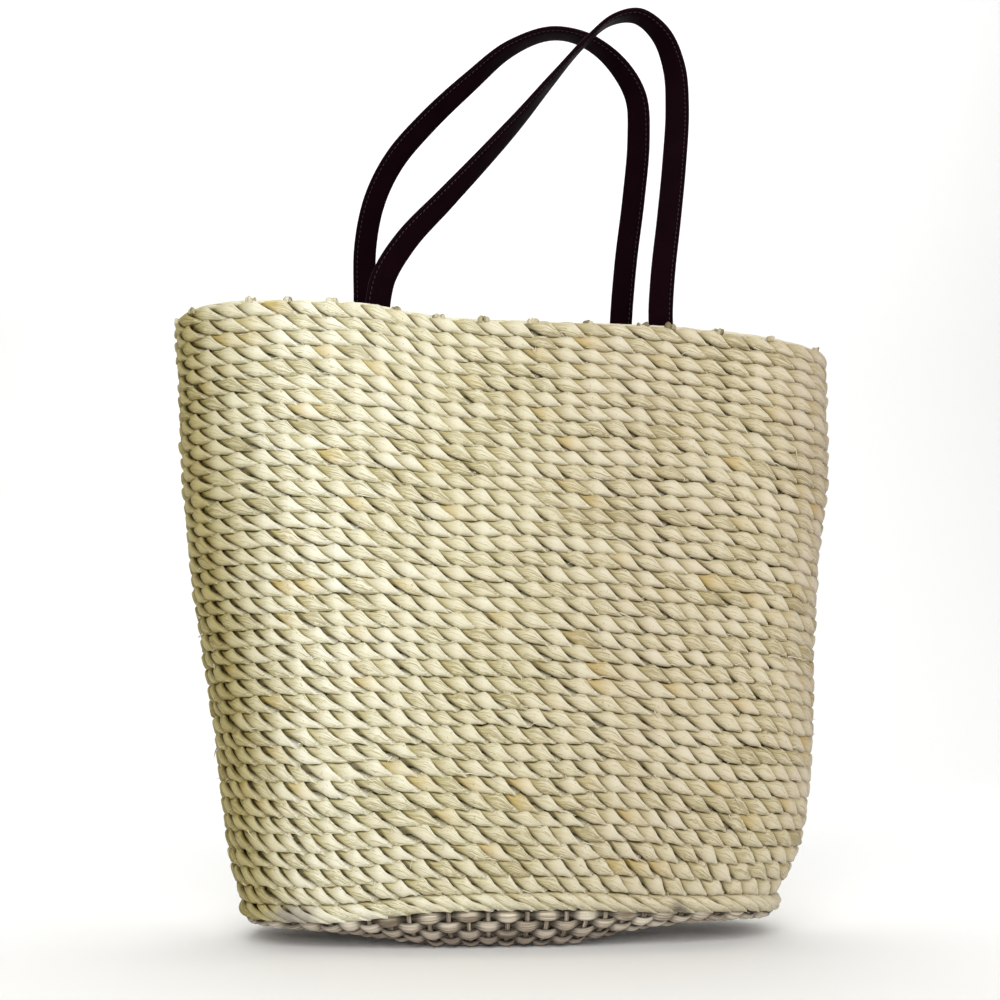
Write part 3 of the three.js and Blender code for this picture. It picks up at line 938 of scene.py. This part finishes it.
# Many short fibres at once. Each starts at root and runs length along way, bending towards bend.
def fibres(name, root, way, bend, length, width, shape, material, tone):
    rings = 6
    t = np.linspace(0, 1, rings)[None, :, None]
    line = root[:, None] + length[:, None, None] * (t * way[:, None] + t * t * bend[:, None])
    along = unit(np.gradient(line, axis=1))
    side = unit(np.cross(along, bend[:, None] + 0.01))
    flat = np.cross(along, side)
    narrow = (1 - shape["taper"] * t ** shape["blunt"]) / 2
    corners = np.array([(1, 0.0), (0, 1), (-1, 0), (0, -1)])
    wide, thick = narrow * width[:, None, None], narrow * shape["thickness"]
    points = line[:, :, None] + wide[..., None] * side[:, :, None] * corners[:, :1]
    points = points + thick[..., None] * flat[:, :, None] * corners[:, 1:]
    spread = np.broadcast_to(t * length[:, None, None] / mm, points.shape[:3])
    number = np.broadcast_to(3.7 * np.arange(len(root))[:, None, None], points.shape[:3])
    lay = np.stack([spread, 0 * spread, number], -1)
    tones = np.broadcast_to(tone[:, None, None], points.shape[:3])
    extra = {"lay": lay, "tone": tones, "tuckTintShade": 0 * tones, "warm": 0 * tones}
    return tubeObject(name, points, False, material, extra)


# the direction round the bag, left to right as seen from outside
def onwardOf(outward, upward):
    return np.cross(upward, outward)


tufts = {
    "every": 2,  # stakes
    "inEach": 6,
    "length": (3.1 * mm, 4.1 * mm),
    "width": (3.0 * mm, 4.6 * mm),
    "thickness": 2.5 * mm,
    "taper": 0.62,
    "blunt": 4,
    "spread": 3.2 * mm,
    "inset": 2.4 * mm,
    "depth": 0.9 * mm,
    "sunk": 2.4 * mm,
}


def makeTufts():
    bundles = np.arange(0, bag["stakes"], tufts["every"])
    bundles = bundles + luck.uniform(0.2, 1.2, len(bundles))
    stake = np.repeat(bundles, tufts["inEach"])
    count = len(stake)
    place, outward, upward = ringWay(
        1.0, stake, tufts["inset"], lambda across: rimTop(across) - tufts["sunk"]
    )
    onward = onwardOf(outward, upward)
    aside, apart, lean, tip = luck.normal(0, 1, (4, count, 1))
    keep = luck.uniform(0.75, 1.1, len(bundles))  # some ends are cut closer than others
    root = place + onward * np.clip(aside, -1.3, 1.3) * tufts["spread"] / 2
    root = root + outward * apart * tufts["depth"]
    way = unit(upward + onward * (0.15 * aside + 0.2 * lean) + outward * (0.2 * apart + 0.1))
    bend = onward * 0.12 * tip + outward * 0.2 * lean
    length = luck.uniform(*tufts["length"], count) * np.repeat(keep, tufts["inEach"])
    length = length * (1 - 0.12 * np.abs(aside[:, 0]))
    width = luck.uniform(*tufts["width"], count)
    tone = luck.normal(0, 1, count)
    ends = fibres("stakeTufts", root, way, bend, length, width, tufts, tuftFinish, tone)
    dress(ends, "straw", "rim_border")


makeTufts()


# Loose fibres and ends of weavers that poke out where strands cross
wisps = {
    "perRow": 17,
    "rootOut": 4.1 * mm,  # from the middle of the wall
    "length": (2.0 * mm, 6.5 * mm),
    "width": (0.4 * mm, 1.0 * mm),
    "thickness": 0.25 * mm,
    "taper": 0.75,
    "blunt": 2,
}


def makeWisps():
    roots, ways, bends = [], [], []
    for row in range(twining["rows"]):
        stake = luck.integers(0, bag["stakes"], wisps["perRow"]) + luck.uniform(0.62, 0.95, wisps["perRow"])
        place, outward, upward, _ = wallWay(rowUp(row + luck.uniform(0.02, 0.2)), stake)
        onward = onwardOf(outward, upward)
        aside, lean, rise = luck.normal(0, 1, (3, wisps["perRow"], 1))
        roots.append(place + outward * wisps["rootOut"])
        ways.append(unit(0.75 * outward + onward * (0.5 + 0.6 * aside) + upward * (0.1 + 0.5 * rise)))
        bends.append(onward * (0.5 + 0.4 * lean) - upward * 0.45 - outward * 0.35)
    root, way, bend = np.vstack(roots), np.vstack(ways), np.vstack(bends)
    count = len(root)
    length, width = luck.uniform(*wisps["length"], count), luck.uniform(*wisps["width"], count)
    tone = 1.5 + luck.normal(0, 1, count)
    loose = fibres("strayFibres", root, way, bend, length, width, wisps, strawFinish, tone)
    dress(loose, "straw")


makeWisps()
print("rim, tufts and stray fibres made")


# One smooth line through given stops, each passed at a speed that suits its gaps. It is the
# line that the solid straps follow.
def throughStops(stops, perStop):
    stops = np.array(stops, float)
    first = 2 * stops[0] - stops[1]
    last = 2 * stops[-1] - stops[-2]
    p = np.vstack([first, stops, last])
    lines = []
    for n in range(len(stops) - 1):
        p0, p1, p2, p3 = p[n : n + 4]
        d0, d1, d2 = (max(np.linalg.norm(b - a) ** 0.5, 1e-9) for a, b in ((p0, p1), (p1, p2), (p2, p3)))
        m1 = (p1 - p0) / d0 - (p2 - p0) / (d0 + d1) + (p2 - p1) / d1
        m2 = (p2 - p1) / d1 - (p3 - p1) / (d1 + d2) + (p3 - p2) / d2
        m1, m2 = m1 * d1, m2 * d1
        t = (np.arange(perStop) / perStop)[:, None]
        lines.append(
            p1 * (2 * t**3 - 3 * t**2 + 1)
            + m1 * (t**3 - 2 * t**2 + t)
            + p2 * (3 * t**2 - 2 * t**3)
            + m2 * (t**3 - t**2)
        )
    lines.append(stops[-1:])
    return np.vstack(lines)


strap = {
    "width": 15 * mm,
    "thickness": 3.2 * mm,
    "spacing": 0.170,
    "rise": 0.214,
    "tail": 0.045,
    "tailGap": 0.7 * mm,
    "crownGap": 0.028,
    "frontShift": 0.0065,
    "backShift": -0.004,
    "perStop": 7,
    "seamInset": 2.4 * mm,  # from the stitched edge
    "stitchPitch": 3.2 * mm,
    "stitchLength": 2.3 * mm,
    "threadRadius": 0.25 * mm,
    "threadBed": 0.85 * mm,  # from the strap's middle to where a stitch goes in, down in the groove
    "threadArch": 0.42 * mm,
    "threadSlant": 0.16 * mm,
    "seamStart": 4 * mm,  # from the strap's ends
    "seamEnd": 6 * mm,
}
# across, up, in, turn: as the solid straps
frontStops = [
    (-1.0, 0.05, 0.0, 0),
    (-0.96, 0.135, 0.07, 8),
    (-0.8, 0.25, 0.2, 30),
    (-0.53, 0.38, 0.38, 46),
    (-0.256, 0.512, 0.56, 56),
    (0.02, 0.65, 0.74, 68),
    (0.28, 0.79, 0.92, 86),
    (0.52, 0.91, 1.0, 97),
    (0.73, 0.985, 1.0, 95),
    (0.93, 1.0, 1.0, 82),
    (1.1, 0.945, 1.0, 58),
    (1.195, 0.84, 0.94, 32),
    (1.205, 0.7, 0.8, 14),
    (1.15, 0.5, 0.5, 5),
    (1.09, 0.33, 0.28, 0),
    (1.03, 0.17, 0.1, 0),
    (1.0, 0.05, 0.0, 0),
]
backStops = [
    (-1.0, 0.05, 0.0, 0),
    (-1.0, 0.17, 0.1, 6),
    (-1.0, 0.34, 0.3, 16),
    (-0.93, 0.48, 0.48, 24),
    (-0.78, 0.6, 0.64, 30),
    (-0.52, 0.72, 0.8, 38),
    (-0.2, 0.84, 0.95, 50),
    (0.1, 0.945, 1.0, 70),
    (0.42, 1.0, 1.0, 88),
    (0.68, 0.985, 1.0, 84),
    (0.92, 0.915, 1.0, 62),
    (1.09, 0.81, 0.92, 32),
    (1.12, 0.68, 0.75, 12),
    (1.09, 0.5, 0.5, 4),
    (1.04, 0.32, 0.28, 0),
    (1.01, 0.16, 0.1, 0),
    (1.0, 0.05, 0.0, 0),
]
# half of the strap's section, edge to edge, in mm: across (the stitched edge is at +), then through
strapFace = [
    (7.5, 0.0),
    (7.46, 0.22),
    (7.3, 0.75),
    (6.95, 1.12),
    (6.4, 1.3),
    (5.7, 1.3),
    (5.35, 1.14),
    (5.1, 1.04),
    (4.85, 1.14),
    (4.4, 1.38),
    (3.4, 1.52),
    (1.4, 1.6),
    (-1.6, 1.6),
    (-4.4, 1.56),
    (-6.2, 1.42),
    (-7.0, 1.12),
    (-7.4, 0.6),
    (-7.5, 0.0),
]


# the middle of a strap where it lies against the inside of the wall, below the rim by drop
def strapSeat(x, side, drop):
    top = wallSize(np.array(1.0))
    across = x / (top[0] if x < 0 else top[1])
    z = float(rimTop(across)) - drop
    low = float(footBottom(across)) + bag["waleHeight"] + bag["seatGap"]
    high = float(rimTop(across)) - bag["borderHeight"] - bag["seatGap"]
    size = wallSize(np.array(min((z - low) / (high - low), 1.0)))
    turn = math.acos(x / (size[0] if x < 0 else size[1]))
    inset = bag["wallThickness"] + strap["tailGap"] + strap["thickness"] / 2
    _, y, normal = outline(size, np.array(turn))
    return np.array([x, side * (y - normal[1] * inset), z])


# the strap's line: middles, the direction of its stitched edge, and the direction it faces
def strapLine(stops, side, shift):
    tailSteps = 3

    def tail(end):
        x = shift + end * strap["spacing"] / 2
        return [(strapSeat(x, side, strap["tail"] * (1 - i / tailSteps)), 0) for i in range(tailSteps + 1)]

    free = []
    for across, up, inward, turn in stops:
        wallY = strapSeat(shift + math.copysign(strap["spacing"] / 2, across), side, 0)[1]
        crownY = side * strap["crownGap"] / 2
        x = shift + across * strap["spacing"] / 2
        z = bag["rimHeight"] + up * strap["rise"]
        free.append((np.array([x, wallY + (crownY - wallY) * inward, z]), turn))
    allStops = tail(-1) + free + tail(1)[::-1]
    middle = throughStops([stop[0] for stop in allStops], strap["perStop"])
    turns = np.array([stop[1] for stop in allStops], float)
    at = np.arange(len(middle)) / strap["perStop"]
    i = np.minimum(at.astype(int), len(turns) - 2)
    turn = np.radians(turns[i] + (turns[i + 1] - turns[i]) * smooth(0, 1, at - i))
    turn = np.convolve(np.pad(turn, 6, "edge"), np.ones(13) / 13, "valid")
    along = unit(np.gradient(middle, axis=0))
    outer = unit(np.cross(along, (0, 1, 0)))
    edge = outer * np.cos(turn)[:, None] + np.cross(along, outer) * np.sin(turn)[:, None]
    return middle, edge, np.cross(along, edge)


# Strap leather: vegetable-tanned cowhide, dyed dark brown, glazed, its edges rounded and burnished.
# It shines softly, and its grain shows only where light grazes it.
leather = {
    "face": "#0C0407",
    "worn": "#1B0B10",
    "sheen": "#6E3540",  # the dye under the glaze tints what it mirrors
    "roughness": 0.47,
    "ior": 1.5,
    "specular": 0.026,
    "grain": 0.9 * mm,  # pores, drawn about twice as coarse as real ones
    "grainRelief": 0.05 * mm,
}


def leatherMaterial():
    material, tree = newMaterial("glazedCowhide")
    place = addNode(tree, "TexCoord").outputs["Object"]
    pores = {"Vector": place, "Scale": 1 / leather["grain"], "Smoothness": 0.6}
    pores = addNode(tree, "TexVoronoi", {"feature": "SMOOTH_F1"}, pores).outputs["Distance"]
    clouds = {"Vector": place, "Scale": 45.0, "Detail": 4.0}
    clouds = addNode(tree, "TexNoise", None, clouds).outputs["Fac"]
    rubbed = addNode(tree, "Attribute", {"attribute_name": "rubbed"}).outputs["Fac"]
    wear = addNode(tree, "Math", {"operation": "MULTIPLY"}, {0: clouds, 1: 0.55}).outputs[0]
    wear = addNode(
        tree, "Math", {"operation": "MULTIPLY_ADD", "use_clamp": True}, {0: rubbed, 1: 0.4, 2: wear}
    ).outputs[0]
    shades = {"Factor": wear, 6: colour(leather["face"]), 7: colour(leather["worn"])}
    body = addNode(tree, "Mix", {"data_type": "RGBA"}, shades).outputs[2]
    gloss = {
        "Value": clouds,
        "From Min": 0.3,
        "From Max": 0.7,
        "To Min": leather["roughness"] - 0.07,
        "To Max": leather["roughness"] + 0.12,
    }
    gloss = addNode(tree, "MapRange", None, gloss).outputs[0]
    relief = {"Height": pores, "Strength": 0.5, "Distance": leather["grainRelief"]}
    relief = addNode(tree, "Bump", {"invert": True}, relief).outputs[0]
    finish = {
        "Base Color": body,
        "Roughness": gloss,
        "IOR": leather["ior"],
        "Specular IOR Level": leather["specular"],
        "Specular Tint": colour(leather["sheen"]),
        "Normal": relief,
    }
    surface = addNode(tree, "BsdfPrincipled", None, finish).outputs[0]
    addNode(tree, "OutputMaterial", None, {"Surface": surface})
    return material


# Waxed linen thread, spun, dull brown-grey
thread = {"dark": "#170E0E", "light": "#3B2D2A", "roughness": 0.7}


def threadMaterial():
    material, tree = newMaterial("waxedLinen")
    place = addNode(tree, "TexCoord").outputs["Object"]
    fuzz = {"Vector": place, "Scale": 2600.0, "Detail": 2.0}
    fuzz = addNode(tree, "TexNoise", None, fuzz).outputs["Fac"]
    stops = [(0.3, colour(thread["dark"])), (0.7, colour(thread["light"]))]
    body = addNode(tree, "ValToRGB", None, {"Fac": fuzz}, stops).outputs["Color"]
    finish = {"Base Color": body, "Roughness": thread["roughness"]}
    surface = addNode(tree, "BsdfPrincipled", None, finish).outputs[0]
    addNode(tree, "OutputMaterial", None, {"Surface": surface})
    return material


leatherFinish, threadFinish = leatherMaterial(), threadMaterial()


def makeStrap(name, node, stops, side, shift):
    middle, edge, face = strapLine(stops, side, shift)
    section = np.array(strapFace + [(w, -d) for w, d in strapFace[-2:0:-1]]) * mm
    points = middle[:, None] + edge[:, None] * section[:, :1] + face[:, None] * section[:, 1:]
    rubbed = np.broadcast_to(smooth(6.2 * mm, 7.4 * mm, np.abs(section[:, 0])), points.shape[:2])
    band = tubeObject(name, points[None], False, leatherFinish, {"rubbed": rubbed[None]}, strips=10)
    dress(band, "leather", node)

    # one row of stitches near the outer edge, on both faces
    run = np.append(0, np.cumsum(np.linalg.norm(np.diff(middle, axis=0), axis=1)))
    starts = np.arange(strap["seamStart"], run[-1] - strap["seamEnd"], strap["stitchPitch"])
    steps, sides = 5, 5
    along = np.linspace(0, 1, steps)
    at = starts[:, None] + along * strap["stitchLength"]
    line, toEdge, toFace = (
        np.stack([np.interp(at, run, part[:, axis]) for axis in range(3)], -1)
        for part in (middle, edge, face)
    )
    onward = unit(np.gradient(line, axis=1))
    inward = strap["width"] / 2 - strap["seamInset"]
    arch = np.sin(math.pi * along) ** 0.6
    angle = fullTurn * np.arange(sides) / sides
    stitches = []
    for way in (1, -1):
        slant = strap["threadSlant"] * (2 * along - 1)
        centre = (
            line
            + toEdge * (inward + slant)[None, :, None]
            + way * toFace * (strap["threadBed"] + strap["threadArch"] * arch)[None, :, None]
        )
        thick = strap["threadRadius"] * (0.55 + 0.45 * arch)
        stitches.append(
            centre[:, :, None]
            + thick[None, :, None, None]
            * (
                np.cos(angle)[:, None] * toFace[:, :, None]
                + np.sin(angle)[:, None] * np.cross(onward, toFace)[:, :, None]
            )
        )
    seams = tubeObject(name + "Stitches", np.concatenate(stitches), False, threadFinish)
    dress(seams, "leather")


makeStrap("frontStrap", "handle_front", frontStops, -1, strap["frontShift"])
makeStrap("backStrap", "handle_back", backStops, 1, strap["backShift"])
print("straps made")


# Studio: a pale sweep under and behind the bag, a soft key from the front left, and an even fill
studio = {
    "floor": "#F8F8F7",
    "sweepRadius": 0.9,
    "sweepBack": 2.2,
    "sweepHalfWidth": 5.0,
    "sweepFront": 3.0,
    "sweepTop": 4.5,
    "worldStrength": 0.24,
    "keyPlace": (-0.3, -2.3, 1.45),
    "keySize": 1.8,
    "keyPower": 54.0,
    "keyAim": (0.0, 0.0, 0.22),
    "fillPlace": (2.0, -1.5, 0.8),
    "fillSize": 1.5,
    "fillPower": 9.0,
    "fillAim": (0.0, 0.0, 0.22),
    "sweepPlace": (0.0, 0.9, 2.6),
    "sweepSize": 2.4,
    "sweepPower": 43.0,
    "sweepAim": (0.0, 2.2, 0.5),
}
camera = {
    "place": (-0.060, -0.850, 0.1495),
    "aim": (-0.0025, 0.0, 0.2605),
    "lens": 49.8,
    "sensor": 36.0,
}


def aimAt(thing, place, aim):
    way = np.array(aim) - np.array(place)
    flat = math.hypot(way[0], way[1])
    thing.location = place
    thing.rotation_euler = (math.atan2(flat, -way[2]), 0, math.atan2(-way[0], way[1]))


def makeStudio():
    material, tree = newMaterial("matPaper")  # unglazed paper: no shine, even
    pulp = addNode(tree, "TexNoise", None, {"Scale": 900.0, "Detail": 2.0}).outputs["Fac"]
    relief = {"Height": pulp, "Strength": 0.1, "Distance": 0.05 * mm}
    relief = addNode(tree, "Bump", None, relief).outputs[0]
    finish = {"Base Color": colour(studio["floor"]), "Roughness": 0.9, "Normal": relief}
    surface = addNode(tree, "BsdfPrincipled", None, finish).outputs[0]
    addNode(tree, "OutputMaterial", None, {"Surface": surface})
    radius, back = studio["sweepRadius"], studio["sweepBack"]
    bend = [
        (back - radius + radius * math.sin(a), radius - radius * math.cos(a))
        for a in np.linspace(0, math.pi / 2, 24)
    ]
    profile = [(-studio["sweepFront"], 0.0), *bend, (back, studio["sweepTop"])]
    wide = studio["sweepHalfWidth"]
    points = [(x, y, z) for y, z in profile for x in (-wide, wide)]
    faces = [(2 * i, 2 * i + 1, 2 * i + 3, 2 * i + 2) for i in range(len(profile) - 1)]
    mesh = bpy.data.meshes.new("sweep")
    mesh.from_pydata(points, [], faces)
    mesh.materials.append(material)
    mesh.polygons.foreach_set("use_smooth", [True] * len(faces))
    sweep = bpy.data.objects.new("sweep", mesh)
    bpy.context.collection.objects.link(sweep)

    world = bpy.data.worlds.new("softWhite")
    world.use_nodes = True
    world.node_tree.nodes["Background"].inputs["Color"].default_value = (1.0, 1.0, 1.0, 1.0)
    world.node_tree.nodes["Background"].inputs["Strength"].default_value = studio["worldStrength"]
    bpy.context.scene.world = world
    bpy.context.scene.view_settings.view_transform = "Standard"
    for name in ("key", "fill", "sweep"):
        light = bpy.data.lights.new(name, "AREA")
        light.size = studio[name + "Size"]
        light.energy = studio[name + "Power"]
        lamp = bpy.data.objects.new(name, light)
        aimAt(lamp, studio[name + "Place"], studio[name + "Aim"])
        bpy.context.collection.objects.link(lamp)

    data = bpy.data.cameras.new("camera")
    data.sensor_width = camera["sensor"]
    data.lens = camera["lens"]
    data.clip_start = 0.01
    eye = bpy.data.objects.new("camera", data)
    aimAt(eye, camera["place"], camera["aim"])
    bpy.context.collection.objects.link(eye)
    bpy.context.scene.camera = eye


makeStudio()
print("studio made")
